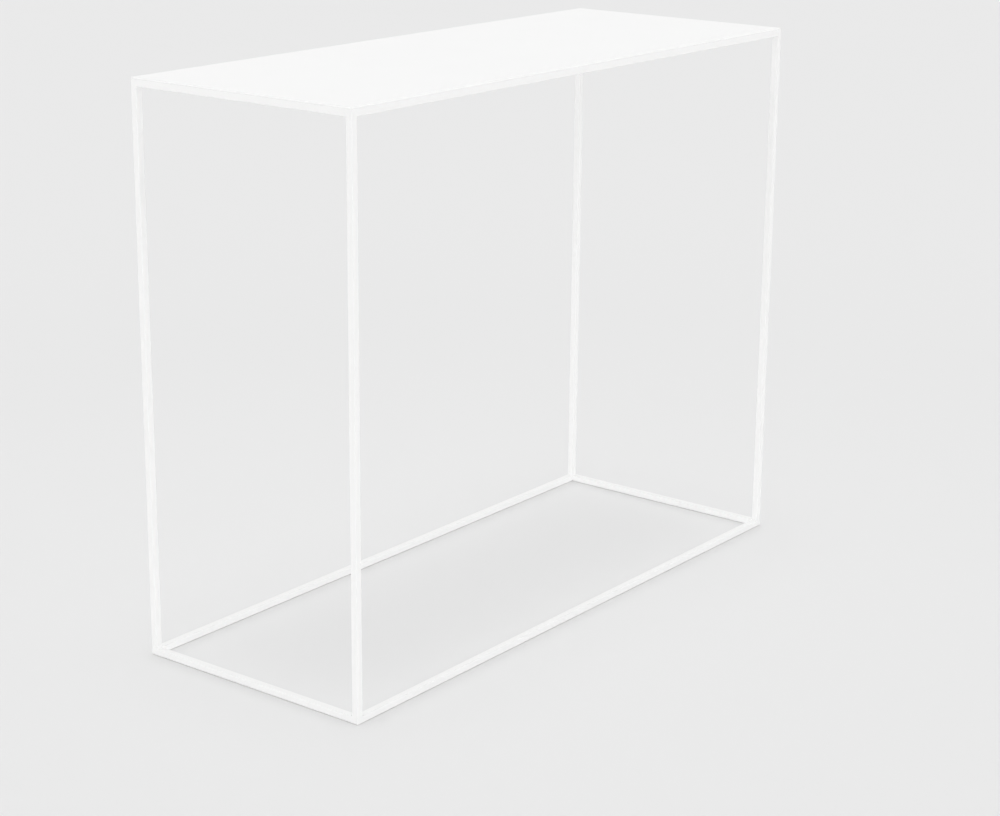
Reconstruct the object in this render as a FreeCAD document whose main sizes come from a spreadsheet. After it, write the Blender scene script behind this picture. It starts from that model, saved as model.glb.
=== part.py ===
import FreeCAD
import Part
import Sketcher
import os

# A white console table welded from one slim square steel bar, with a thin sheet top.
# Millimetres, +Z up, the length along X. The origin is on the floor under the middle of the table.

SIZES = {
    # overall size, floor to the upper face of the top sheet
    "length": 1050.0,
    "depth": 400.0,
    "height": 850.0,
    # square bar of the frame
    "bar_side": 10.0,
    "bar_arris_radius": 0.3,
    # top sheet and the shadow line under it
    "sheet_thickness": 2.0,
    "sheet_edge_radius": 0.3,
    "sheet_corner_radius": 1.5,
    "shadow_gap": 0.13,
    # gussets and lugs welded inside the top rails
    "plate_thickness": 3.0,
    "plate_set_down": 1.0,
    "gusset_side": 38.0,
    "gusset_tip": 5.0,
    "gusset_relief": 4.0,
    "lug_width": 30.0,
    "lug_reach": 24.0,
    "lug_corner_radius": 7.0,
    "fixing_inset": 13.0,
    "fixing_hole_play": 0.3,
    # weld studs, washers and nuts that hold the sheet down
    "weld_stud_diameter": 4.0,
    "weld_stud_length": 9.5,
    "weld_stud_flange_diameter": 5.5,
    "weld_stud_flange_height": 0.6,
    "weld_stud_tip": 0.5,
    "spacer_outer_diameter": 12.0,
    "spacer_bore_play": 0.2,
    "washer_outer_diameter": 9.0,
    "washer_thickness": 0.8,
    "nut_across_flats": 7.0,
    "nut_height": 3.2,
    "nut_bevel_margin": 1.0,
    "thread_play": 0.05,
    # strips of tape between the top rails and the sheet
    "edge_pad_setback": 0.35,
    "edge_pad_end_gap": 0.3,
    # levelling feet and their recesses in the frame's lower corners
    "foot_stand": 0.7,
    "foot_pad_height": 2.5,
    "foot_pad_diameter": 7.4,
    "foot_pad_sole_chamfer": 0.4,
    "foot_pad_rim_chamfer": 0.2,
    "foot_grip_diameter": 1.6,
    "foot_grip_bite": 0.25,
    "foot_stud_diameter": 5.0,
    "foot_stud_length": 16.0,
    "foot_stud_tip": 0.6,
    "foot_flange_diameter": 5.9,
    "foot_flange_height": 1.0,
    "foot_sole_thickness": 0.7,
    "foot_moulding_play": 0.02,
    "foot_bore_depth": 22.0,
    "foot_recess_play": 0.2,
}
FOOT_GRIP_COUNT = 10
FIXING_COLUMNS = 3
ROWS = 2
QUARTER_TURN = 90.0
FULL_TURN = 360.0
NUT_BEVEL_ANGLE = "30 deg"
PARALLEL_COSINE = 0.999

# Heights and spans that follow from the driving sizes.
SHEET_UNDERSIDE = "(sizes.height - sizes.sheet_thickness)"
FRAME_TOP = f"({SHEET_UNDERSIDE} - sizes.shadow_gap)"
FRAME_BOTTOM = "sizes.foot_stand"
FRAME_HEIGHT = f"({FRAME_TOP} - {FRAME_BOTTOM})"
HALF_BAR = "(sizes.bar_side / 2)"
HALF_LENGTH = "(sizes.length / 2)"
HALF_DEPTH = "(sizes.depth / 2)"
PLATE_TOP = f"({FRAME_TOP} - sizes.plate_set_down)"
PLATE_UNDERSIDE = f"({PLATE_TOP} - sizes.plate_thickness)"
FIXING_SETBACK = "(sizes.bar_side + sizes.fixing_inset)"
FIXING_X = f"({HALF_LENGTH} - {FIXING_SETBACK})"
FIXING_Y = f"({HALF_DEPTH} - {FIXING_SETBACK})"

doc = FreeCAD.newDocument("console_table")
sheet = doc.addObject("Spreadsheet::Sheet", "sizes")
for row, (size_name, size_value) in enumerate(SIZES.items(), start=1):
    sheet.set(f"A{row}", size_name)
    sheet.set(f"B{row}", str(size_value))
    sheet.setAlias(f"B{row}", size_name)
doc.recompute()

subparts = []


def start_body(label, solid_count=1):
    """Add an empty body for one named sub-part of the table."""
    body = doc.addObject("PartDesign::Body", label)
    body.Label = label
    subparts.append((body, solid_count))
    return body


def origin_feature(body, role):
    """Find one of a body's own origin planes or axes."""
    return next(feature for feature in body.Origin.OriginFeatures if feature.Role == role)


def start_sketch(body, plane, name):
    """Add a sketch on one of the body's origin planes."""
    sketch = body.newObject("Sketcher::SketchObject", f"{body.Name}_{name}")
    sketch.AttachmentSupport = [(origin_feature(body, plane), "")]
    sketch.MapMode = "FlatFace"
    return sketch


def value_of(formula):
    """Work out a formula of the sheet's sizes as a plain number."""
    return float(sheet.evalExpression(formula))


def bind(sketch, constraint, formula):
    """Add a sketch constraint whose value follows a formula of the sheet's sizes."""
    index = sketch.addConstraint(constraint)
    sketch.setExpression(f"Constraints[{index}]", formula)


def pin_point(sketch, geometry, point, across, up):
    """Hold a sketch point at formulas for its two coordinates."""
    origin = (-1, 1)
    for kind, formula in (("DistanceX", across), ("DistanceY", up)):
        bind(sketch, Sketcher.Constraint(kind, *origin, geometry, point, value_of(formula)), formula)


def draw_polygon(sketch, corners):
    """Draw a closed outline through corners given as pairs of formulas."""
    start_point = 1
    end_point = 2
    places = [FreeCAD.Vector(value_of(across), value_of(up), 0) for across, up in corners]
    count = len(corners)
    lines = [
        sketch.addGeometry(Part.LineSegment(places[i], places[(i + 1) % count]), False)
        for i in range(count)
    ]
    for i, line in enumerate(lines):
        following = lines[(i + 1) % count]
        sketch.addConstraint(Sketcher.Constraint("Coincident", line, end_point, following, start_point))
        pin_point(sketch, line, start_point, *corners[i])


def draw_circle(sketch, across, up, diameter):
    """Draw a circle from formulas for its centre and diameter."""
    centre_point = 3
    centre = FreeCAD.Vector(value_of(across), value_of(up), 0)
    upward = FreeCAD.Vector(0, 0, 1)
    circle = sketch.addGeometry(Part.Circle(centre, upward, value_of(diameter) / 2), False)
    bind(sketch, Sketcher.Constraint("Diameter", circle, value_of(diameter)), diameter)
    pin_point(sketch, circle, centre_point, across, up)


def add_pad(body, sketch, height):
    """Raise a sketch into a solid along the sketch's normal."""
    pad = body.newObject("PartDesign::Pad", f"{sketch.Name}_pad")
    pad.Profile = sketch
    pad.setExpression("Length", height)
    doc.recompute()
    return pad


def cut_through(body, sketch):
    """Cut a sketch right through the body, to both sides of the sketch's plane."""
    pocket = body.newObject("PartDesign::Pocket", f"{sketch.Name}_cut")
    pocket.Profile = sketch
    pocket.Type = "ThroughAll"
    pocket.SideType = "Symmetric"
    doc.recompute()
    return pocket


def add_turned(body, sketch):
    """Turn a sketched half section about the sketch's upright axis."""
    turned = body.newObject("PartDesign::Revolution", f"{sketch.Name}_turned")
    turned.Profile = sketch
    turned.ReferenceAxis = (sketch, ["V_Axis"])
    turned.Angle = FULL_TURN
    doc.recompute()
    return turned


def round_edges(body, base, radius, wanted):
    """Round those edges of the base feature that the wanted test picks."""
    names = [f"Edge{i}" for i, edge in enumerate(base.Shape.Edges, start=1) if wanted(edge)]
    fillet = body.newObject("PartDesign::Fillet", f"{base.Name}_rounding")
    fillet.Base = (base, names)
    fillet.setExpression("Radius", radius)
    doc.recompute()
    return fillet


def runs_along(edge, axis):
    """Tell whether a straight edge is parallel to an axis."""
    if not isinstance(edge.Curve, Part.Line):
        return False
    return abs(edge.Curve.Direction.dot(axis)) > PARALLEL_COSINE


def repeat_in_rows(body, features, spans, counts):
    """Repeat some features of a body along X and Y over formulas for the two spans."""
    pattern = body.newObject("PartDesign::LinearPattern", f"{features[0].Name}_rows")
    pattern.Originals = features
    pattern.Direction = (origin_feature(body, "X_Axis"), [""])
    pattern.Direction2 = (origin_feature(body, "Y_Axis"), [""])
    pattern.setExpression("Length", spans[0])
    pattern.setExpression("Length2", spans[1])
    pattern.Occurrences, pattern.Occurrences2 = counts
    body.Tip = pattern
    doc.recompute()
    return pattern


def place(body, position, rotation):
    """Stand a body at formulas for its position, turned as given."""
    body.Placement = FreeCAD.Placement(FreeCAD.Vector(), rotation)
    for axis, formula in zip("xyz", position):
        body.setExpression(f"Placement.Base.{axis}", formula)


def quarter_turns(count):
    """Rotation by a number of quarter turns about the table's upright axis."""
    return FreeCAD.Rotation(FreeCAD.Vector(0, 0, 1), count * QUARTER_TURN)


# The corners of the table in plan, counter-clockwise from the front left. Each takes one more quarter turn.
CORNERS = (
    ("front_left", f"-{HALF_LENGTH}", f"-{HALF_DEPTH}"),
    ("front_right", HALF_LENGTH, f"-{HALF_DEPTH}"),
    ("back_right", HALF_LENGTH, HALF_DEPTH),
    ("back_left", f"-{HALF_LENGTH}", HALF_DEPTH),
)
# The sides of the table and the length of the rails there, in the same order.
SIDES = (
    ("front", "sizes.length"),
    ("right", "sizes.depth"),
    ("back", "sizes.length"),
    ("left", "sizes.depth"),
)


# Frame bars. Every bar is drawn with its outer faces on Y = 0 and Z = 0 and its length along X.
# Both ends are cut back at 45 degrees from both outer faces, so three bars meet in each corner
# of the table with all faces flush and every seam on a diagonal.


def mitre_corners(run):
    """The two triangles that a mitre saw takes off the ends of a bar, past the bar on every side."""
    past = "sizes.bar_side"
    beyond = "(2 * sizes.bar_side)"
    near = ((f"-{past}", f"-{past}"), (beyond, beyond), (f"-{past}", beyond))
    far = (
        (f"{run} + {past}", f"-{past}"),
        (f"{run} + {past}", beyond),
        (f"{run} - {beyond}", beyond),
    )
    return near, far


def make_bar(label, run):
    """Make one mitred bar of the frame, its length given as a formula."""
    body = start_body(label)
    section = start_sketch(body, "YZ_Plane", "section")
    side = "sizes.bar_side"
    draw_polygon(section, (("0", "0"), (side, "0"), (side, side), ("0", side)))
    stock = add_pad(body, section, run)
    lengthwise = FreeCAD.Vector(1, 0, 0)
    round_edges(body, stock, "sizes.bar_arris_radius", lambda edge: runs_along(edge, lengthwise))
    for plane in ("XY_Plane", "XZ_Plane"):
        mitres = start_sketch(body, plane, f"mitres_{plane[:2].lower()}")
        for triangle in mitre_corners(run):
            draw_polygon(mitres, triangle)
        cut_through(body, mitres)
    return body


FOOT_BORE_DIAMETER = "sizes.foot_stud_diameter + 2 * sizes.thread_play"
FOOT_RECESS_DIAMETER = "sizes.foot_pad_diameter + 2 * sizes.foot_recess_play"
FOOT_RECESS_DEPTH = "sizes.foot_pad_height - sizes.foot_stand"


def require_cut(body, before):
    """Stop if a cut has taken nothing off a body of the given volume."""
    if body.Shape.Volume >= before:
        raise RuntimeError(f"{body.Label}: a cut for the foot missed the bar")


def bore_leg(body):
    """Drill the foot's tapped hole up the leg's lower end, counterbored for the pad."""
    mouth = start_sketch(body, "YZ_Plane", "foot_bore")
    draw_circle(mouth, HALF_BAR, HALF_BAR, FOOT_BORE_DIAMETER)
    before = body.Shape.Volume
    bore = body.newObject("PartDesign::Hole", f"{body.Name}_foot_hole")
    bore.Profile = mouth
    bore.ThreadType = "None"
    bore.setExpression("Diameter", FOOT_BORE_DIAMETER)
    bore.DepthType = "Dimension"
    bore.setExpression("Depth", "sizes.foot_bore_depth")
    bore.DrillPoint = "Angled"
    bore.HoleCutType = "Counterbore"
    bore.HoleCutCustomValues = True
    bore.setExpression("HoleCutDiameter", FOOT_RECESS_DIAMETER)
    bore.setExpression("HoleCutDepth", FOOT_RECESS_DEPTH)
    bore.Reversed = True
    doc.recompute()
    require_cut(body, before)


def bore_floor_rail(body, run):
    """Carry the two feet's holes and recesses on through the mitred ends of a floor rail."""
    mouths = start_sketch(body, "XY_Plane", "foot_bores")
    recesses = start_sketch(body, "XY_Plane", "foot_recesses")
    for along in (HALF_BAR, f"{run} - {HALF_BAR}"):
        draw_circle(mouths, along, HALF_BAR, FOOT_BORE_DIAMETER)
        draw_circle(recesses, along, HALF_BAR, FOOT_RECESS_DIAMETER)
    cut_through(body, mouths)
    before = body.Shape.Volume
    recess = body.newObject("PartDesign::Pocket", f"{recesses.Name}_cut")
    recess.Profile = recesses
    recess.setExpression("Length", FOOT_RECESS_DEPTH)
    recess.Reversed = True
    doc.recompute()
    require_cut(body, before)


UPRIGHT = FreeCAD.Rotation(FreeCAD.Vector(1, 1, 1), -120)
UPSIDE_DOWN = FreeCAD.Rotation(FreeCAD.Vector(0, 1, 0), 180)

for turns, (corner_name, corner_x, corner_y) in enumerate(CORNERS):
    leg = make_bar(f"{corner_name}_leg", FRAME_HEIGHT)
    bore_leg(leg)
    place(leg, (corner_x, corner_y, FRAME_BOTTOM), quarter_turns(turns) * UPRIGHT)

for turns, (side_name, run) in enumerate(SIDES):
    floor_rail = make_bar(f"{side_name}_floor_rail", run)
    bore_floor_rail(floor_rail, run)
    _, start_x, start_y = CORNERS[turns]
    place(floor_rail, (start_x, start_y, FRAME_BOTTOM), quarter_turns(turns))

for turns, (side_name, run) in enumerate(SIDES):
    top_rail = make_bar(f"{side_name}_top_rail", run)
    _, start_x, start_y = CORNERS[(turns + 1) % len(CORNERS)]
    place(top_rail, (start_x, start_y, FRAME_TOP), quarter_turns(turns) * UPSIDE_DOWN)


# Gussets and lugs. Flat plates welded to the inner faces of the top rails, a little below the rails' upper
# faces, each with a hole for one of the sheet's studs.

FIXING_HOLE_DIAMETER = "sizes.weld_stud_diameter + 2 * sizes.fixing_hole_play"


def drill_plate(body, across, up):
    """Drill the stud's clearance hole through a plate."""
    hole = start_sketch(body, "XY_Plane", "stud_hole")
    draw_circle(hole, across, up, FIXING_HOLE_DIAMETER)
    cut_through(body, hole)


def make_gusset(label):
    """Make a corner gusset with its inner corner relieved to clear the frame's weld."""
    body = start_body(label)
    outline = start_sketch(body, "XY_Plane", "outline")
    side = "sizes.gusset_side"
    tip = "sizes.gusset_tip"
    relief = "sizes.gusset_relief"
    draw_polygon(
        outline,
        ((relief, "0"), (side, "0"), (side, tip), (tip, side), ("0", side), ("0", relief)),
    )
    add_pad(body, outline, "sizes.plate_thickness")
    drill_plate(body, "sizes.fixing_inset", "sizes.fixing_inset")
    return body


def make_lug(label):
    """Make a side lug with its free corners rounded."""
    body = start_body(label)
    outline = start_sketch(body, "XY_Plane", "outline")
    half_width = "(sizes.lug_width / 2)"
    reach = "sizes.lug_reach"
    draw_polygon(
        outline,
        ((f"-{half_width}", "0"), (half_width, "0"), (half_width, reach), (f"-{half_width}", reach)),
    )
    plate = add_pad(body, outline, "sizes.plate_thickness")
    upward = FreeCAD.Vector(0, 0, 1)
    half_reach = value_of(reach) / 2
    round_edges(
        body,
        plate,
        "sizes.lug_corner_radius",
        lambda edge: runs_along(edge, upward) and edge.CenterOfMass.y > half_reach,
    )
    drill_plate(body, "0", "sizes.fixing_inset")
    return body


INNER_X = f"({HALF_LENGTH} - sizes.bar_side)"
INNER_Y = f"({HALF_DEPTH} - sizes.bar_side)"
INNER_CORNERS = (
    (f"-{INNER_X}", f"-{INNER_Y}"),
    (INNER_X, f"-{INNER_Y}"),
    (INNER_X, INNER_Y),
    (f"-{INNER_X}", INNER_Y),
)
for turns, (corner_name, _, _) in enumerate(CORNERS):
    gusset = make_gusset(f"{corner_name}_gusset")
    place(gusset, (*INNER_CORNERS[turns], PLATE_UNDERSIDE), quarter_turns(turns))

for side_name, rail_face, turns in (("front", f"-{INNER_Y}", 0), ("back", INNER_Y, 2)):
    lug = make_lug(f"{side_name}_lug")
    place(lug, ("0", rail_face, PLATE_UNDERSIDE), quarter_turns(turns))


# Top sheet. One flat steel sheet, flush with the outer faces of the frame.

top_sheet = start_body("top_sheet")
sheet_outline = start_sketch(top_sheet, "XY_Plane", "outline")
draw_polygon(sheet_outline, [(corner_x, corner_y) for _, corner_x, corner_y in CORNERS])
blank = add_pad(top_sheet, sheet_outline, "sizes.sheet_thickness")
cornered = round_edges(
    top_sheet,
    blank,
    "sizes.sheet_corner_radius",
    lambda edge: runs_along(edge, FreeCAD.Vector(0, 0, 1)),
)
round_edges(
    top_sheet,
    cornered,
    "sizes.sheet_edge_radius",
    lambda edge: edge.BoundBox.ZLength < edge.Length / 2,
)
place(top_sheet, ("0", "0", SHEET_UNDERSIDE), FreeCAD.Rotation())


# Fixings of the top sheet, at the four gussets and the two lugs: weld studs on the sheet's underside,
# spacer washers round their flanges, and a plain washer and a nut below each plate.

FIXING_SPANS = (f"2 * {FIXING_X}", f"2 * {FIXING_Y}")
FIXING_COUNTS = (FIXING_COLUMNS, ROWS)
FIXING_COUNT = FIXING_COLUMNS * ROWS
RINGED_STUD_DIAMETER = "sizes.weld_stud_flange_diameter + 2 * sizes.spacer_bore_play"
THREADED_BORE_DIAMETER = "sizes.weld_stud_diameter + 2 * sizes.thread_play"


def place_fixings(body, features, height):
    """Repeat a fixing at every gusset and lug, its origin at the given height."""
    repeat_in_rows(body, features, FIXING_SPANS, FIXING_COUNTS)
    place(body, (f"-{FIXING_X}", f"-{FIXING_Y}", height), FreeCAD.Rotation())


def make_ring(label, outer_diameter, bore_diameter, thickness, height):
    """Make a set of flat washers, one at each fixing."""
    body = start_body(label, FIXING_COUNT)
    outline = start_sketch(body, "XY_Plane", "outline")
    draw_circle(outline, "0", "0", outer_diameter)
    draw_circle(outline, "0", "0", bore_diameter)
    ring = add_pad(body, outline, thickness)
    place_fixings(body, [ring], height)


weld_studs = start_body("weld_studs", FIXING_COUNT)
stud_profile = start_sketch(weld_studs, "XZ_Plane", "half_section")
FLANGE_RADIUS = "(sizes.weld_stud_flange_diameter / 2)"
STUD_RADIUS = "(sizes.weld_stud_diameter / 2)"
draw_polygon(
    stud_profile,
    (
        ("0", "0"),
        ("0", "-sizes.weld_stud_length"),
        (f"{STUD_RADIUS} - sizes.weld_stud_tip", "-sizes.weld_stud_length"),
        (STUD_RADIUS, "sizes.weld_stud_tip - sizes.weld_stud_length"),
        (STUD_RADIUS, "-sizes.weld_stud_flange_height"),
        (FLANGE_RADIUS, "-sizes.weld_stud_flange_height"),
        (FLANGE_RADIUS, "0"),
    ),
)
place_fixings(weld_studs, [add_turned(weld_studs, stud_profile)], SHEET_UNDERSIDE)

make_ring(
    "spacer_washers",
    "sizes.spacer_outer_diameter",
    RINGED_STUD_DIAMETER,
    "sizes.plate_set_down + sizes.shadow_gap",
    PLATE_TOP,
)
WASHER_UNDERSIDE = f"({PLATE_UNDERSIDE} - sizes.washer_thickness)"
make_ring(
    "plain_washers",
    "sizes.washer_outer_diameter",
    FIXING_HOLE_DIAMETER,
    "sizes.washer_thickness",
    WASHER_UNDERSIDE,
)

nuts = start_body("nuts", FIXING_COUNT)
hexagon = start_sketch(nuts, "XY_Plane", "hexagon")
HALF_FLATS = "(sizes.nut_across_flats / 2)"
POINT_RADIUS = "(sizes.nut_across_flats / sqrt(3))"
HALF_POINT = f"({POINT_RADIUS} / 2)"
draw_polygon(
    hexagon,
    (
        (POINT_RADIUS, "0"),
        (HALF_POINT, HALF_FLATS),
        (f"-{HALF_POINT}", HALF_FLATS),
        (f"-{POINT_RADIUS}", "0"),
        (f"-{HALF_POINT}", f"-{HALF_FLATS}"),
        (HALF_POINT, f"-{HALF_FLATS}"),
    ),
)
nut_blank = add_pad(nuts, hexagon, "sizes.nut_height")
thread = start_sketch(nuts, "XY_Plane", "thread")
draw_circle(thread, "0", "0", THREADED_BORE_DIAMETER)
nut_bore = cut_through(nuts, thread)
bevels = start_sketch(nuts, "XZ_Plane", "bevels")
BEVEL_RADIUS = f"({POINT_RADIUS} + sizes.nut_bevel_margin)"
BEVEL_FALL = f"(({BEVEL_RADIUS} - {HALF_FLATS}) * tan({NUT_BEVEL_ANGLE}))"
draw_polygon(bevels, ((HALF_FLATS, "0"), (BEVEL_RADIUS, "0"), (BEVEL_RADIUS, BEVEL_FALL)))
draw_polygon(
    bevels,
    (
        (HALF_FLATS, "sizes.nut_height"),
        (BEVEL_RADIUS, f"sizes.nut_height - {BEVEL_FALL}"),
        (BEVEL_RADIUS, "sizes.nut_height"),
    ),
)
bevel_cut = nuts.newObject("PartDesign::Groove", "nut_bevel_cut")
bevel_cut.Profile = bevels
bevel_cut.ReferenceAxis = (bevels, ["V_Axis"])
bevel_cut.Angle = FULL_TURN
doc.recompute()
place_fixings(nuts, [nut_blank, nut_bore, bevel_cut], f"{WASHER_UNDERSIDE} - sizes.nut_height")


# Edge pads. Strips of thin soft tape on the rails' upper faces, set a little back from the rails' edges, that
# keep the sheet just off the bars: one along each long rail, and one on each short rail between those two.

PAD_OUT_X = f"({HALF_LENGTH} - sizes.edge_pad_setback)"
PAD_OUT_Y = f"({HALF_DEPTH} - sizes.edge_pad_setback)"
PAD_IN_X = f"({INNER_X} + sizes.edge_pad_setback)"
PAD_IN_Y = f"({INNER_Y} + sizes.edge_pad_setback)"
PAD_END_Y = f"({PAD_IN_Y} - sizes.edge_pad_end_gap)"
edge_pads = start_body("edge_pads", len(SIDES))
strips = start_sketch(edge_pads, "XY_Plane", "strips")
for low_x, high_x, low_y, high_y in (
    (f"-{PAD_OUT_X}", PAD_OUT_X, f"-{PAD_OUT_Y}", f"-{PAD_IN_Y}"),
    (PAD_IN_X, PAD_OUT_X, f"-{PAD_END_Y}", PAD_END_Y),
    (f"-{PAD_OUT_X}", PAD_OUT_X, PAD_IN_Y, PAD_OUT_Y),
    (f"-{PAD_OUT_X}", f"-{PAD_IN_X}", f"-{PAD_END_Y}", PAD_END_Y),
):
    draw_polygon(strips, ((low_x, low_y), (high_x, low_y), (high_x, high_y), (low_x, high_y)))
add_pad(edge_pads, strips, "sizes.shadow_gap")
place(edge_pads, ("0", "0", FRAME_TOP), FreeCAD.Rotation())


# Levelling feet. A plastic pad with a grip of shallow flutes is moulded round the flange of a steel stud
# that screws up into the leg. All are shown screwed right in, the pad home in its recess in the corner.

PAD_RADIUS = "(sizes.foot_pad_diameter / 2)"
POCKET_RADIUS = "(sizes.foot_flange_diameter / 2)"
POCKET_TOP = "(sizes.foot_sole_thickness + sizes.foot_flange_height)"
SHANK_RADIUS = "(sizes.foot_stud_diameter / 2)"
PLAY = "sizes.foot_moulding_play"


def make_foot_pad(label):
    """Make the plastic pad of a foot, hollow where the stud's flange sits."""
    body = start_body(label)
    profile = start_sketch(body, "XZ_Plane", "half_section")
    sole = "sizes.foot_pad_sole_chamfer"
    rim = "sizes.foot_pad_rim_chamfer"
    neck = f"{SHANK_RADIUS} + {PLAY}"
    draw_polygon(
        profile,
        (
            ("0", "0"),
            (f"{PAD_RADIUS} - {sole}", "0"),
            (PAD_RADIUS, sole),
            (PAD_RADIUS, f"sizes.foot_pad_height - {rim}"),
            (f"{PAD_RADIUS} - {rim}", "sizes.foot_pad_height"),
            (neck, "sizes.foot_pad_height"),
            (neck, POCKET_TOP),
            (POCKET_RADIUS, POCKET_TOP),
            (POCKET_RADIUS, "sizes.foot_sole_thickness"),
            ("0", "sizes.foot_sole_thickness"),
        ),
    )
    add_turned(body, profile)
    flute = start_sketch(body, "XY_Plane", "grip")
    flute_centre = f"{PAD_RADIUS} + sizes.foot_grip_diameter / 2 - sizes.foot_grip_bite"
    draw_circle(flute, flute_centre, "0", "sizes.foot_grip_diameter")
    grip = body.newObject("PartDesign::PolarPattern", f"{body.Name}_grips")
    grip.Originals = [cut_through(body, flute)]
    grip.Axis = (origin_feature(body, "Z_Axis"), [""])
    grip.Angle = FULL_TURN
    grip.Occurrences = FOOT_GRIP_COUNT
    body.Tip = grip
    doc.recompute()
    return body


def make_foot_stud(label):
    """Make the steel stud of a foot, with the flange that the pad is moulded round."""
    body = start_body(label)
    profile = start_sketch(body, "XZ_Plane", "half_section")
    flange_radius = f"{POCKET_RADIUS} - {PLAY}"
    tip = "sizes.foot_stud_tip"
    stud_top = "(sizes.foot_sole_thickness + sizes.foot_stud_length)"
    draw_polygon(
        profile,
        (
            ("0", "sizes.foot_sole_thickness"),
            (flange_radius, "sizes.foot_sole_thickness"),
            (flange_radius, POCKET_TOP),
            (SHANK_RADIUS, POCKET_TOP),
            (SHANK_RADIUS, f"{stud_top} - {tip}"),
            (f"{SHANK_RADIUS} - {tip}", stud_top),
            ("0", stud_top),
        ),
    )
    add_turned(body, profile)
    return body


FOOT_X = f"({HALF_LENGTH} - {HALF_BAR})"
FOOT_Y = f"({HALF_DEPTH} - {HALF_BAR})"
FOOT_PLACES = (
    (f"-{FOOT_X}", f"-{FOOT_Y}"),
    (FOOT_X, f"-{FOOT_Y}"),
    (FOOT_X, FOOT_Y),
    (f"-{FOOT_X}", FOOT_Y),
)
for turns, (corner_name, _, _) in enumerate(CORNERS):
    for foot_piece in (make_foot_pad(f"{corner_name}_foot_pad"), make_foot_stud(f"{corner_name}_foot_stud")):
        place(foot_piece, (*FOOT_PLACES[turns], "0"), quarter_turns(turns))


# Every sub-part is checked and written to a file of its own name.

doc.recompute()
for made in doc.Objects:
    if "Invalid" in made.State or "Error" in made.State:
        raise RuntimeError(f"{made.Name}: {made.State}")
os.makedirs("parts", exist_ok=True)
for body, solid_count in subparts:
    shape = body.Shape
    if shape.isNull() or not shape.isValid():
        raise RuntimeError(f"{body.Label}: the shape is not valid")
    if len(shape.Solids) != solid_count:
        raise RuntimeError(f"{body.Label}: {len(shape.Solids)} solids, expected {solid_count}")
    shape.exportStep(f"parts/{body.Label}.step")
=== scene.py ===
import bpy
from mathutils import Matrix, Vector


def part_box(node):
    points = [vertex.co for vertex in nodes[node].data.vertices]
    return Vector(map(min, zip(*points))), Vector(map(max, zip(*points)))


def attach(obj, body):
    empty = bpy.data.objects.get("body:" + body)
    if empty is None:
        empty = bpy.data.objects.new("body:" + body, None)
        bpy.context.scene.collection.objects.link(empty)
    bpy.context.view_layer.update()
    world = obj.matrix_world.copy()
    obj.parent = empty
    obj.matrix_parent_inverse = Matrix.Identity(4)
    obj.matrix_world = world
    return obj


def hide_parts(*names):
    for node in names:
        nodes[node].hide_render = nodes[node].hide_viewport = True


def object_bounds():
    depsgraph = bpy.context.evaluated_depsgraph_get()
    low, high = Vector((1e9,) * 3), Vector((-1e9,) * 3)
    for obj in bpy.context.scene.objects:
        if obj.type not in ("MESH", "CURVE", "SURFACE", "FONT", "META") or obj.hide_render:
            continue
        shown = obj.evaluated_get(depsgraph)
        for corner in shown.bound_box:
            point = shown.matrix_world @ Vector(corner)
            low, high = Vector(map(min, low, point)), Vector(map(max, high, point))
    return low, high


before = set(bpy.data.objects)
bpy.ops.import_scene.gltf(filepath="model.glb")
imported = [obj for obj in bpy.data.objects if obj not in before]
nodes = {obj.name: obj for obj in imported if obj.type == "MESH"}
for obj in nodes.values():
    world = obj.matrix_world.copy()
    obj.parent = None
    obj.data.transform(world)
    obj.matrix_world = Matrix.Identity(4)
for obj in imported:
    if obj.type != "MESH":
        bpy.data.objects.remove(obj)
cad_box = [list(corner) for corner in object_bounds()]

import math

import bmesh
import bpy
from mathutils import Matrix, Vector


# Frame bars: legs, floor rails and top rails, all of one slim solid square steel bar.
# Three bars meet in every corner on a three-way mitre, welded and ground flush outside,
# and the whole frame is powder coated in one satin white.

CORNER_NAMES = ("front_left", "front_right", "back_right", "back_left")
SIDE_NAMES = ("front", "right", "back", "left")
LEVEL_NAMES = ("floor", "top")
PEEL_SIZE = 0.0012
DRIFT_SIZE = 0.009
CLOUD_SIZE = 0.070
CLOUD_DETAIL = 3.0
CLOUD_SHARE = 0.55
DRIFT_SHARE = 0.25
PEEL_SHARE = 0.20
COAT_ROUGHNESS = 0.36
DRIFT_ROUGHNESS = 0.10
PEEL_ROUGHNESS = 0.06
PEEL_RELIEF_SHARE = 0.6
PEEL_DEPTH = 0.000010
COAT_GLOSS = {"IOR": 1.5, "Specular IOR Level": 0.25}


class Tone:
    """A value on its way through a finish, so that the finish reads as plain sums."""

    def __init__(self, tree, socket=None):
        self.tree = tree
        self.socket = socket

    def node(self, kind, settings, sockets, output=0):
        """Add any node: its settings first, then the values or links of its sockets."""
        made = self.tree.nodes.new(kind)
        for name, value in settings.items():
            setattr(made, name, value)
        for name, value in sockets.items():
            if isinstance(value, Tone):
                self.tree.links.new(value.socket, made.inputs[name])
            else:
                made.inputs[name].default_value = value
        return Tone(self.tree, made.outputs[output]) if made.outputs else None

    def sum(self, operation, first, second):
        """Work out two values with one Math node."""
        return self.node("ShaderNodeMath", {"operation": operation}, {0: first, 1: second})

    def __add__(self, other):
        return self.sum("ADD", self, other)

    __radd__ = __add__

    def __mul__(self, other):
        return self.sum("MULTIPLY", self, other)

    __rmul__ = __mul__

    def __sub__(self, other):
        return self.sum("SUBTRACT", self, other)

    def __rsub__(self, other):
        return self.sum("SUBTRACT", other, self)


def start_finish(name):
    """Make an empty finish, and hand it back with the place on the piece in metres."""
    finish = bpy.data.materials.new(name)
    finish.use_nodes = True
    finish.node_tree.nodes.clear()
    return finish, Tone(finish.node_tree).node("ShaderNodeTexCoord", {}, {}, output="Object")


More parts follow.
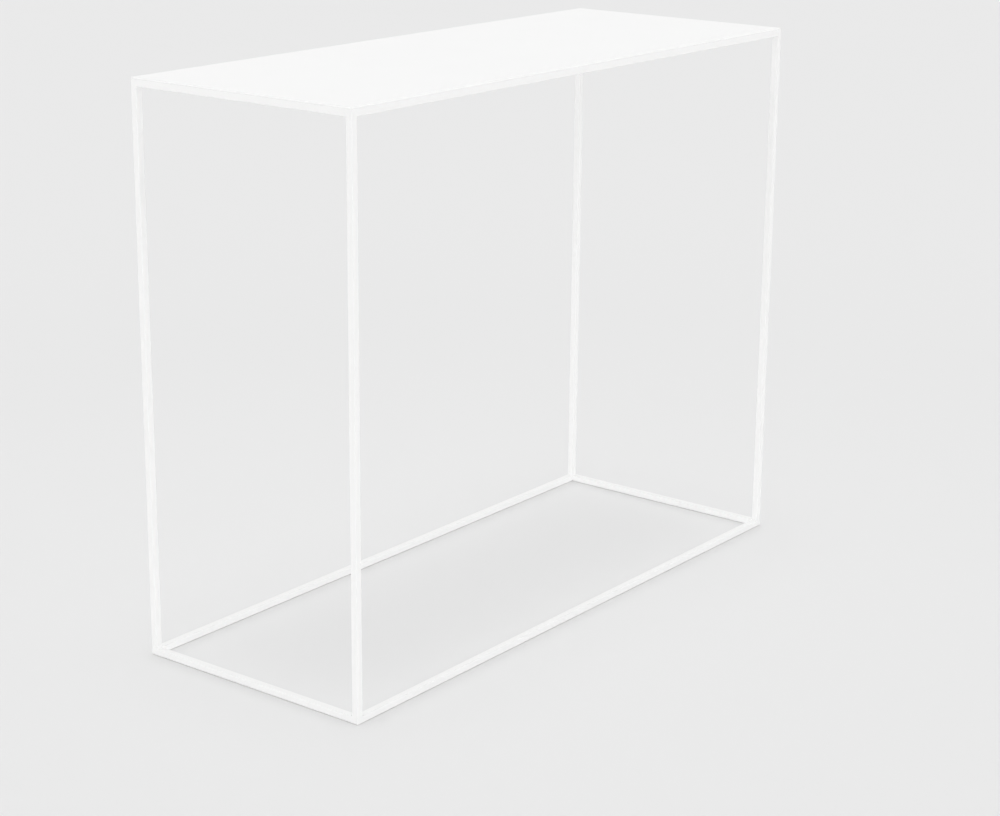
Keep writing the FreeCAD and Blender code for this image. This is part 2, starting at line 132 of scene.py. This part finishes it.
def grain(place, size, detail=2.0):
    """Soft cloudy variation about one half, its patches about this many metres across."""
    return place.node("ShaderNodeTexNoise", {}, {"Vector": place, "Scale": 1.0 / size, "Detail": detail})


def share_between(share, first, second):
    """Mix two values, the first with this share and the second with the rest."""
    return share * first + (1.0 - share) * second


def blend_colours(mask, dark, light):
    """Go from one colour to the other as the mask goes from 0 to 1."""
    factor, first_colour, second_colour, blended = 0, 6, 7, 2
    sockets = {factor: mask, first_colour: (*dark, 1.0), second_colour: (*light, 1.0)}
    return mask.node("ShaderNodeMix", {"data_type": "RGBA"}, sockets, output=blended)


def close_finish(place, colour, roughness, relief, relief_depth, constants):
    """Bring colour, roughness and a relief of some depth in metres together in one surface."""
    bump = place.node("ShaderNodeBump", {}, {"Height": relief, "Distance": relief_depth})
    varied = {"Base Color": colour, "Roughness": roughness, "Normal": bump}
    surface = place.node("ShaderNodeBsdfPrincipled", {}, {**varied, **constants})
    place.node("ShaderNodeOutputMaterial", {}, {"Surface": surface})


def powder_coat(name, thin_colour, full_colour):
    """Baked satin powder: fine orange peel, slow drifts in thickness and a slightly uneven sheen."""
    finish, place = start_finish(name)
    peel = grain(place, PEEL_SIZE)
    drift = grain(place, DRIFT_SIZE)
    cloud = grain(place, CLOUD_SIZE, CLOUD_DETAIL)
    thickness = CLOUD_SHARE * cloud + DRIFT_SHARE * drift + PEEL_SHARE * peel
    close_finish(
        place,
        colour=blend_colours(thickness, thin_colour, full_colour),
        roughness=COAT_ROUGHNESS + DRIFT_ROUGHNESS * drift + PEEL_ROUGHNESS * peel,
        relief=share_between(PEEL_RELIEF_SHARE, peel, drift),
        relief_depth=PEEL_DEPTH,
        constants=COAT_GLOSS,
    )
    return finish


def give_finish(node_name, finish):
    """Put a finish on one node of the frame file."""
    nodes[node_name].material_slots[0].material = finish


frame_coat = powder_coat(
    "frame_powder_coat",
    thin_colour=(0.850, 0.850, 0.846),
    full_colour=(0.880, 0.880, 0.877),
)
for corner_name in CORNER_NAMES:
    give_finish(f"{corner_name}_leg", frame_coat)
for level_name in LEVEL_NAMES:
    for side_name in SIDE_NAMES:
        give_finish(f"{side_name}_{level_name}_rail", frame_coat)


# Weld fillets: the small hollow fillets of weld left inside every corner, where a grinder doesn't reach.
# They are steel like the bars, lightly rippled by the torch, and coated over with the frame.

FILLET_RADIUS = 0.0017
FILLET_END_GAP = 0.0005
FILLET_RIPPLE = 0.0011
FILLET_RIPPLE_SHARE = 0.06
FILLET_TAIL_SHARE = 0.55
FILLET_STATIONS = 15
WELD_ROOT_DEPTH = 0.00008
WELD_ARC_STEPS = 7
WELD_SHARP_ANGLE = math.radians(40.0)


def skin_sections(shell, sections):
    """Skin a run of closed cross sections into one shape, closed at both ends."""
    rings = [[shell.verts.new(point) for point in section] for section in sections]
    for ring, following in zip(rings, rings[1:]):
        for k in range(len(ring)):
            after = (k + 1) % len(ring)
            shell.faces.new((ring[k], ring[after], following[after], following[k]))
    shell.faces.new(rings[0][::-1])
    shell.faces.new(rings[-1])


def finish_piece(name, shell, finish, body, sharp_angle):
    """Turn a shell into a piece that rides on one of the table's bodies."""
    bmesh.ops.recalc_face_normals(shell, faces=shell.faces)
    for face in shell.faces:
        face.smooth = True
    for edge in shell.edges:
        edge.smooth = edge.calc_face_angle(0.0) < sharp_angle
    mesh = bpy.data.meshes.new(name)
    shell.to_mesh(mesh)
    shell.free()
    mesh.materials.append(finish)
    piece = bpy.data.objects.new(name, mesh)
    bpy.context.scene.collection.objects.link(piece)
    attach(piece, body)
    return piece


def quarter_turn():
    """Even steps of angle through a quarter turn, for the arc of a weld's section."""
    return [math.radians(90.0 * k / (WELD_ARC_STEPS - 1)) for k in range(WELD_ARC_STEPS)]


def hollow_section(radius):
    """Section of a hollow fillet, as distances from two faces, its root sunk into both."""
    hollow = [(radius - radius * math.sin(a), radius - radius * math.cos(a)) for a in quarter_turn()]
    root = [(-WELD_ROOT_DEPTH, radius), (-WELD_ROOT_DEPTH, -WELD_ROOT_DEPTH)]
    return [(radius, -WELD_ROOT_DEPTH), *hollow, *root]


def add_fillet(shell, root, along, first, second, length):
    """Lay one fillet along a corner line, between a first and a second direction away from it."""
    sections = []
    for k in range(FILLET_STATIONS):
        run = FILLET_END_GAP + (length - 2 * FILLET_END_GAP) * k / (FILLET_STATIONS - 1)
        ripple = math.sin(2 * math.pi * run / FILLET_RIPPLE)
        radius = FILLET_RADIUS * (1.0 + FILLET_RIPPLE_SHARE * ripple)
        if k in (0, FILLET_STATIONS - 1):
            radius *= FILLET_TAIL_SHARE
        section = hollow_section(radius)
        sections.append([root + along * run + first * a + second * b for a, b in section])
    skin_sections(shell, sections)


leg_low, leg_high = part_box("front_left_leg")
bar_side = leg_high.x - leg_low.x
frame_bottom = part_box("front_floor_rail")[0].z
frame_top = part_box("front_top_rail")[1].z
half_length, half_depth = cad_box[1][:2]
weld_fillets = bmesh.new()
for out_x in (-1, 1):
    for out_y in (-1, 1):
        for corner_z, inward_z in ((frame_bottom, 1), (frame_top, -1)):
            corner = Vector((out_x * half_length, out_y * half_depth, corner_z))
            inward = [Vector((-out_x, 0, 0)), Vector((0, -out_y, 0)), Vector((0, 0, inward_z))]
            for turn in range(len(inward)):
                along, first, second = inward[turn:] + inward[:turn]
                root = corner + (first + second) * bar_side
                add_fillet(weld_fillets, root, along, first, second, bar_side)
finish_piece(
    "corner_weld_fillets", weld_fillets, frame_coat, "table", WELD_SHARP_ANGLE
)


# Gussets and lugs: flat steel plates inside the top rails, a little below the rails' upper faces,
# each drilled for one stud of the top sheet. They are stitch welded from below and coated with the frame.

GUSSET_NAMES = [f"{corner}_gusset" for corner in CORNER_NAMES]
LUG_NAMES = ["front_lug", "back_lug"]
STITCH_LEG = 0.0023
STITCH_DIP = 0.16
STITCH_RIPPLE = 0.0019
STITCH_RIPPLE_SHARE = 0.10
STITCH_TAIL_SHARE = 0.12
STITCH_STATIONS = 33
STITCH_SEAM_SHARE = 0.55


def full_section(leg):
    """Section of a slightly full fillet weld, out from a rail's face and down from a plate's underside."""
    points = [(-WELD_ROOT_DEPTH, -leg)]
    for a in quarter_turn():
        reach = leg * (1.0 - STITCH_DIP * math.sin(2 * a))
        points.append((reach * math.sin(a), -reach * math.cos(a)))
    return points + [(leg, WELD_ROOT_DEPTH), (-WELD_ROOT_DEPTH, WELD_ROOT_DEPTH)]


def add_stitch(shell, middle, along, away, length):
    """Lay one stitch of weld about a middle point on the rail's face under a plate."""
    upward = Vector((0, 0, 1))
    sections = []
    for k in range(STITCH_STATIONS):
        run = length * k / (STITCH_STATIONS - 1)
        ripple = abs(math.sin(math.pi * run / STITCH_RIPPLE))
        scallop = share_between(STITCH_RIPPLE_SHARE, ripple, 1.0)
        tail = math.sqrt(min(1.0, STITCH_TAIL_SHARE + min(run, length - run) / STITCH_LEG))
        section = full_section(STITCH_LEG * scallop * tail)
        station = middle + along * (run - length / 2)
        sections.append([station + away * a + upward * b for a, b in section])
    skin_sections(shell, sections)


def rail_face(low, high):
    """Where a plate meets its rail: the end of its span that lies on the outer side of the table."""
    return low if low < 0 else high


plate_welds = bmesh.new()
for plate_name in GUSSET_NAMES + LUG_NAMES:
    give_finish(plate_name, frame_coat)
    plate_low, plate_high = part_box(plate_name)
    middle = (plate_low + plate_high) / 2
    rail_x = rail_face(plate_low.x, plate_high.x)
    rail_y = rail_face(plate_low.y, plate_high.y)
    inward_x = Vector((-math.copysign(1, rail_x), 0, 0))
    inward_y = Vector((0, -math.copysign(1, rail_y), 0))
    seam = STITCH_SEAM_SHARE * (plate_high.x - plate_low.x)
    add_stitch(plate_welds, Vector((middle.x, rail_y, plate_low.z)), inward_x, inward_y, seam)
    if plate_name in GUSSET_NAMES:
        add_stitch(plate_welds, Vector((rail_x, middle.y, plate_low.z)), inward_y, inward_x, seam)
finish_piece("plate_stitch_welds", plate_welds, frame_coat, "table", WELD_SHARP_ANGLE)


# Top sheet: one flat steel sheet with softened edges, powder coated in the same white as the frame.
# Its coat here is painted a shade lighter than the frame's, as painted light for the brighter light on
# top.
# It is flush with the frame all round and sits just clear of the rails, over a hair-thin shadow line.

top_coat_painted_lighter = powder_coat(
    "top_powder_coat_painted_light",
    thin_colour=(0.890, 0.890, 0.887),
    full_colour=(0.916, 0.916, 0.914),
)
give_finish("top_sheet", top_coat_painted_lighter)


# Weld studs: short coppered M4 studs shot onto the sheet's underside, each with a small flange
# at its root. They hang down through the gussets and lugs and carry the nuts.

STUD_RADIUS = 0.0020
STUD_PITCH = 0.0007
STUD_FLANGE_RADIUS = 0.00275
STUD_FLANGE_HEIGHT = 0.0006
STUD_TIP = 0.0005
THREAD_DEPTH_SHARE = 0.61
THREAD_FLANK_SLOPE = 2.6
THREAD_ROOT_FLAT = 0.15
THREAD_ROWS_PER_TURN = 7
THREAD_COLUMNS = 24
THREAD_SHARP_ANGLE = math.radians(60.0)
PLATING_CLOUD_SIZE = 0.003
PLATING_CLOUD_SHARE = 0.6
PLATING_DULLING = 0.25
PLATING_STREAK_DEPTH = 0.000006


def plated_metal(name, dull, bright, least_roughness, streak_size):
    """Plated steel: clouds and fine streaks in the plating, rougher where it is duller."""
    finish, place = start_finish(name)
    streak = grain(place, streak_size)
    cloud = grain(place, PLATING_CLOUD_SIZE, CLOUD_DETAIL)
    dullness = share_between(PLATING_CLOUD_SHARE, cloud, streak)
    close_finish(
        place,
        colour=blend_colours(1 - dullness, dull, bright),
        roughness=least_roughness + PLATING_DULLING * dullness,
        relief=streak,
        relief_depth=PLATING_STREAK_DEPTH,
        constants={"Metallic": 1.0},
    )
    return finish


def thread_radius(major, pitch, z, angle):
    """Radius of a cut thread at a height and an angle, with flats on crest and root."""
    phase = (z / pitch - angle / (2 * math.pi)) % 1.0
    rise = 0.5 - abs(phase - 0.5)
    ridge = min(1.0, max(0.0, THREAD_FLANK_SLOPE * rise - THREAD_ROOT_FLAT))
    return major - THREAD_DEPTH_SHARE * pitch * (1.0 - ridge)


def round_row(z, radius):
    """A plain round row of a turned shape, as the place round the axis at each angle."""
    return lambda angle: (radius * math.cos(angle), radius * math.sin(angle), z)


def threaded_rows(major, pitch, start, stop, tip):
    """Rows of a thread from its root to its chamfered tip; it may run up or down."""
    count = int(THREAD_ROWS_PER_TURN * abs(stop - start) / pitch)
    rows = []
    for k in range(count + 1):
        z = start + (stop - start) * k / count
        chamfer = major - max(0.0, tip - abs(stop - z))

        def row(angle, z=z, chamfer=chamfer):
            radius = min(chamfer, thread_radius(major, pitch, z, angle))
            return radius * math.cos(angle), radius * math.sin(angle), z

        rows.append(row)
    return rows


def add_turned(shell, centre, rows):
    """Skin rows round an upright axis into a shape closed at both ends."""
    angles = [2 * math.pi * k / THREAD_COLUMNS for k in range(THREAD_COLUMNS)]
    skin_sections(shell, [[centre + Vector(row(angle)) for angle in angles] for row in rows])


copper = plated_metal(
    "coppered_steel",
    dull=(0.44, 0.25, 0.17),
    bright=(0.72, 0.46, 0.33),
    least_roughness=0.28,
    streak_size=0.0004,
)
stud_low, stud_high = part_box("weld_studs")
stud_tip_z = stud_low.z - stud_high.z
fixing_x = stud_high.x - STUD_FLANGE_RADIUS
fixing_y = stud_high.y - STUD_FLANGE_RADIUS
weld_studs = bmesh.new()
for x in (-fixing_x, 0.0, fixing_x):
    for y in (-fixing_y, fixing_y):
        rows = [round_row(z, STUD_FLANGE_RADIUS) for z in (0.0, -STUD_FLANGE_HEIGHT)]
        rows += threaded_rows(STUD_RADIUS, STUD_PITCH, -STUD_FLANGE_HEIGHT, stud_tip_z, STUD_TIP)
        add_turned(weld_studs, Vector((x, y, stud_high.z)), rows)
threaded_studs = finish_piece(
    "threaded_weld_studs", weld_studs, copper, "table", THREAD_SHARP_ANGLE
)
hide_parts("weld_studs")


# Spacer washers: nylon rings between the plates and the sheet, turned from natural rod.
# They sit round the flanges of the studs and are clamped when the nuts are drawn up.


def plain_plastic(
    name, bloom_size, bloom_share, marks_size, marks_depth, dark, light, roughness, constants
):
    """Plastic with a soft bloom in its colour, and fine marks that also roughen it from least to most."""
    finish, place = start_finish(name)
    bloom = grain(place, bloom_size)
    marks = grain(place, marks_size)
    least, most = roughness
    close_finish(
        place,
        colour=blend_colours(share_between(bloom_share, bloom, marks), dark, light),
        roughness=least + (most - least) * marks,
        relief=marks,
        relief_depth=marks_depth,
        constants=constants,
    )
    return finish


natural_nylon = plain_plastic(
    "natural_nylon",
    bloom_size=0.004,
    bloom_share=0.7,
    marks_size=0.0006,
    marks_depth=0.000010,
    dark=(0.80, 0.78, 0.71),
    light=(0.90, 0.89, 0.84),
    roughness=(0.42, 0.58),
    constants={"Subsurface Weight": 0.15, "Subsurface Scale": 0.001},
)
give_finish("spacer_washers", natural_nylon)


# Plain washers and nuts: bright zinc-plated M4 hardware, stamped and cold formed.
# A washer and a nut are drawn up on the stud below every gusset and lug.

zinc = plated_metal(
    "zinc_plated_steel",
    dull=(0.50, 0.52, 0.55),
    bright=(0.74, 0.76, 0.79),
    least_roughness=0.22,
    streak_size=0.0005,
)
give_finish("plain_washers", zinc)
give_finish("nuts", zinc)


# Edge pads: four strips of thin vinyl tape, pressed along the rails' upper faces a little back from
# the edges, so that the top sheet neither rings nor wears through its coat. Their grey is painted shade:
# it darkens the hair-thin shadow line between the sheet and the rails.

painted_shade_tape = plain_plastic(
    "grey_vinyl_tape",
    bloom_size=0.012,
    bloom_share=0.6,
    marks_size=0.0008,
    marks_depth=0.000008,
    dark=(0.36, 0.36, 0.36),
    light=(0.44, 0.44, 0.44),
    roughness=(0.45, 0.60),
    constants={"IOR": 1.52},
)
give_finish("edge_pads", painted_shade_tape)


# Levelling feet: a white nylon pad with a fluted rim, moulded round the flange of a zinc-plated M5 stud.
# The stud screws up into the leg, and the pad sits almost hidden in a recess under the corner.

FOOT_STUD_RADIUS = 0.00248
FOOT_PITCH = 0.0008
FOOT_FLANGE_HEIGHT = 0.0010
FOOT_STUD_TIP = 0.0006
white_nylon = plain_plastic(
    "white_nylon",
    bloom_size=0.0025,
    bloom_share=0.5,
    marks_size=0.0003,
    marks_depth=0.000020,
    dark=(0.74, 0.74, 0.72),
    light=(0.82, 0.82, 0.80),
    roughness=(0.50, 0.70),
    constants={"Subsurface Weight": 0.10, "Subsurface Scale": 0.001},
)
for corner_name in CORNER_NAMES:
    give_finish(f"{corner_name}_foot_pad", white_nylon)
    foot_low, foot_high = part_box(f"{corner_name}_foot_stud")
    centre = (foot_low + foot_high) / 2
    centre.z = foot_low.z
    flange_radius = (foot_high.x - foot_low.x) / 2
    stud_top = foot_high.z - foot_low.z
    rows = [round_row(z, flange_radius) for z in (0.0, FOOT_FLANGE_HEIGHT)]
    rows += threaded_rows(FOOT_STUD_RADIUS, FOOT_PITCH, FOOT_FLANGE_HEIGHT, stud_top, FOOT_STUD_TIP)
    stud = bmesh.new()
    add_turned(stud, centre, rows)
    stud_name = f"{corner_name}_threaded_foot_stud"
    foot_name = f"{corner_name}_foot"
    threaded = finish_piece(stud_name, stud, zinc, foot_name, THREAD_SHARP_ANGLE)
    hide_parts(f"{corner_name}_foot_stud")


# Studio floor: one wide matt sheet of pale grey paper that runs out of the picture on every side.
# The table's feet stand on it, and it shows the table's shadow.

FLOOR_REACH = 60.0
FLOOR_DARK_GREY = (0.765, 0.765, 0.765)
FLOOR_PALE_GREY = (0.775, 0.775, 0.775)
TOOTH_SIZE = 0.003
TOOTH_DEPTH = 0.000010
FLOOR_ROUGHNESS = 0.85
TOOTH_ROUGHNESS = 0.10
floor_corners = [(x * FLOOR_REACH, y * FLOOR_REACH, 0.0) for x, y in ((-1, -1), (1, -1), (1, 1), (-1, 1))]
floor_mesh = bpy.data.meshes.new("studio_floor")
floor_mesh.from_pydata(floor_corners, [], [(0, 1, 2, 3)])
floor_finish, place = start_finish("studio_floor")
tooth = grain(place, TOOTH_SIZE)
close_finish(
    place,
    colour=blend_colours(tooth, FLOOR_DARK_GREY, FLOOR_PALE_GREY),
    roughness=FLOOR_ROUGHNESS + TOOTH_ROUGHNESS * tooth,
    relief=tooth,
    relief_depth=TOOTH_DEPTH,
    constants={"Specular IOR Level": 0.0},
)
floor_mesh.materials.append(floor_finish)
floor = bpy.data.objects.new("studio_floor", floor_mesh)
bpy.context.scene.collection.objects.link(floor)


# Studio light: a dim room with a ring of soft lamps all round it, and one soft lamp overhead.
# The ring shades the floor along the rails, and the lamp overhead throws the pale shadow under the table.
# Two level lamps brighten the upright faces and one below the sheet's underside; these throw no shadows.

WALL_LIGHT = 0.05
RING_LIGHT = 2.18
CEILING_LIGHT = 0.78
OVERHEAD_LIGHT = 2.60

# Heights in the room go from 0 on the level to 1 straight overhead.
RING_FOOT = (0.22, 0.36)
RING_HEAD = (0.42, 0.62)
OVERHEAD_RIM = (0.96, 0.998)
BACKDROP_COLOUR = (0.823, 0.823, 0.823, 1.0)
WHITE = (1.0, 1.0, 1.0, 1.0)
LEVEL_FILL = 0.29
UNDER_FILL = 0.18
FILL_LAMP_ANGLE = math.radians(10.0)
FRONT_LAMP_PLACE = Vector((-2, -2, 0))
BACK_LAMP_PLACE = Vector((2, 2, 0))
UNDER_LAMP_PLACE = Vector((0, 0, -3))
room = bpy.data.worlds.new("studio_room")
bpy.context.scene.world = room
room.use_nodes = True
room.node_tree.nodes.clear()
room_tone = Tone(room.node_tree)
seen, mirrored, through = (
    room_tone.node("ShaderNodeLightPath", {}, {}, output=ray_kind)
    for ray_kind in ("Is Camera Ray", "Is Glossy Ray", "Is Transmission Ray")
)
direction = room_tone.node("ShaderNodeTexCoord", {}, {}, output="Generated")
height = direction.node("ShaderNodeSeparateXYZ", {}, {"Vector": direction}, output="Z")


def glow(colour, strength):
    """Light of one colour and strength from a part of the room."""
    return room_tone.node("ShaderNodeBackground", {}, {"Color": colour, "Strength": strength})


def blend_light(share, first, second):
    """Go from the first light to the second as the share goes from 0 to 1."""
    return share.node("ShaderNodeMixShader", {}, {0: share, 1: first, 2: second})


def light_above(below, strength, edge):
    """Pass softly from the light below to another strength, over an edge between two heights."""
    heights = {"Value": height, "From Min": edge[0], "From Max": edge[1]}
    share = height.node("ShaderNodeMapRange", {"interpolation_type": "SMOOTHSTEP"}, heights)
    return blend_light(share, below, glow(WHITE, strength))


lighting = light_above(glow(WHITE, WALL_LIGHT), RING_LIGHT, RING_FOOT)
lighting = light_above(lighting, CEILING_LIGHT, RING_HEAD)
lighting = light_above(lighting, OVERHEAD_LIGHT, OVERHEAD_RIM)
backdrop = glow(BACKDROP_COLOUR, 1.0)
mixed = blend_light(seen + mirrored + through, lighting, backdrop)
room_tone.node("ShaderNodeOutputWorld", {}, {"Surface": mixed})


def add_fill_lamp(name, strength, place):
    """Shine a distant lamp from a place towards the table, out of sight, with no glare and no shadow."""
    lamp_data = bpy.data.lights.new(name, "SUN")
    lamp_data.energy = strength * math.pi
    lamp_data.angle = FILL_LAMP_ANGLE
    lamp_data.use_shadow = False
    lamp = bpy.data.objects.new(name, lamp_data)
    lamp.location = place
    lamp.rotation_euler = (-place).to_track_quat("-Z", "Y").to_euler()
    lamp.visible_camera = False
    lamp.visible_glossy = False
    bpy.context.scene.collection.objects.link(lamp)
    return lamp


add_fill_lamp("front_fill_light", LEVEL_FILL, FRONT_LAMP_PLACE)
add_fill_lamp("back_fill_light", LEVEL_FILL, BACK_LAMP_PLACE)
under_light = add_fill_lamp("under_fill_light", UNDER_FILL, UNDER_LAMP_PLACE)
lit_from_below = bpy.data.collections.new("lit_from_below")
lit_from_below.objects.link(nodes["top_sheet"])
under_light.light_linking.receiver_collection = lit_from_below


# Camera: a long lens a little above table height, off the left front corner, looking slightly down.
# It has no shift, because the other views would keep it and the table would leave them.

CAMERA_EYE = Vector((-2.6838, -2.0952, 1.3165))
CAMERA_HEADING = math.radians(52.527)
CAMERA_PITCH = math.radians(-16.710)
CAMERA_ROLL = math.radians(0.523)
CAMERA_SENSOR_WIDTH = 36.0
CAMERA_LENS = 82.115
FROM_DOWN_TO_LEVEL = math.radians(90.0)
camera_data = bpy.data.cameras.new("photo_camera")
camera_data.sensor_width = CAMERA_SENSOR_WIDTH
camera_data.lens = CAMERA_LENS
camera = bpy.data.objects.new("photo_camera", camera_data)
bpy.context.scene.collection.objects.link(camera)
turned_level = Matrix.Rotation(-CAMERA_HEADING, 4, "Z") @ Matrix.Rotation(FROM_DOWN_TO_LEVEL, 4, "X")
tilted = Matrix.Rotation(CAMERA_PITCH, 4, "X") @ Matrix.Rotation(CAMERA_ROLL, 4, "Z")
camera.matrix_world = Matrix.Translation(CAMERA_EYE) @ turned_level @ tilted
bpy.context.scene.camera = camera
bpy.context.scene.view_settings.view_transform = "Standard"
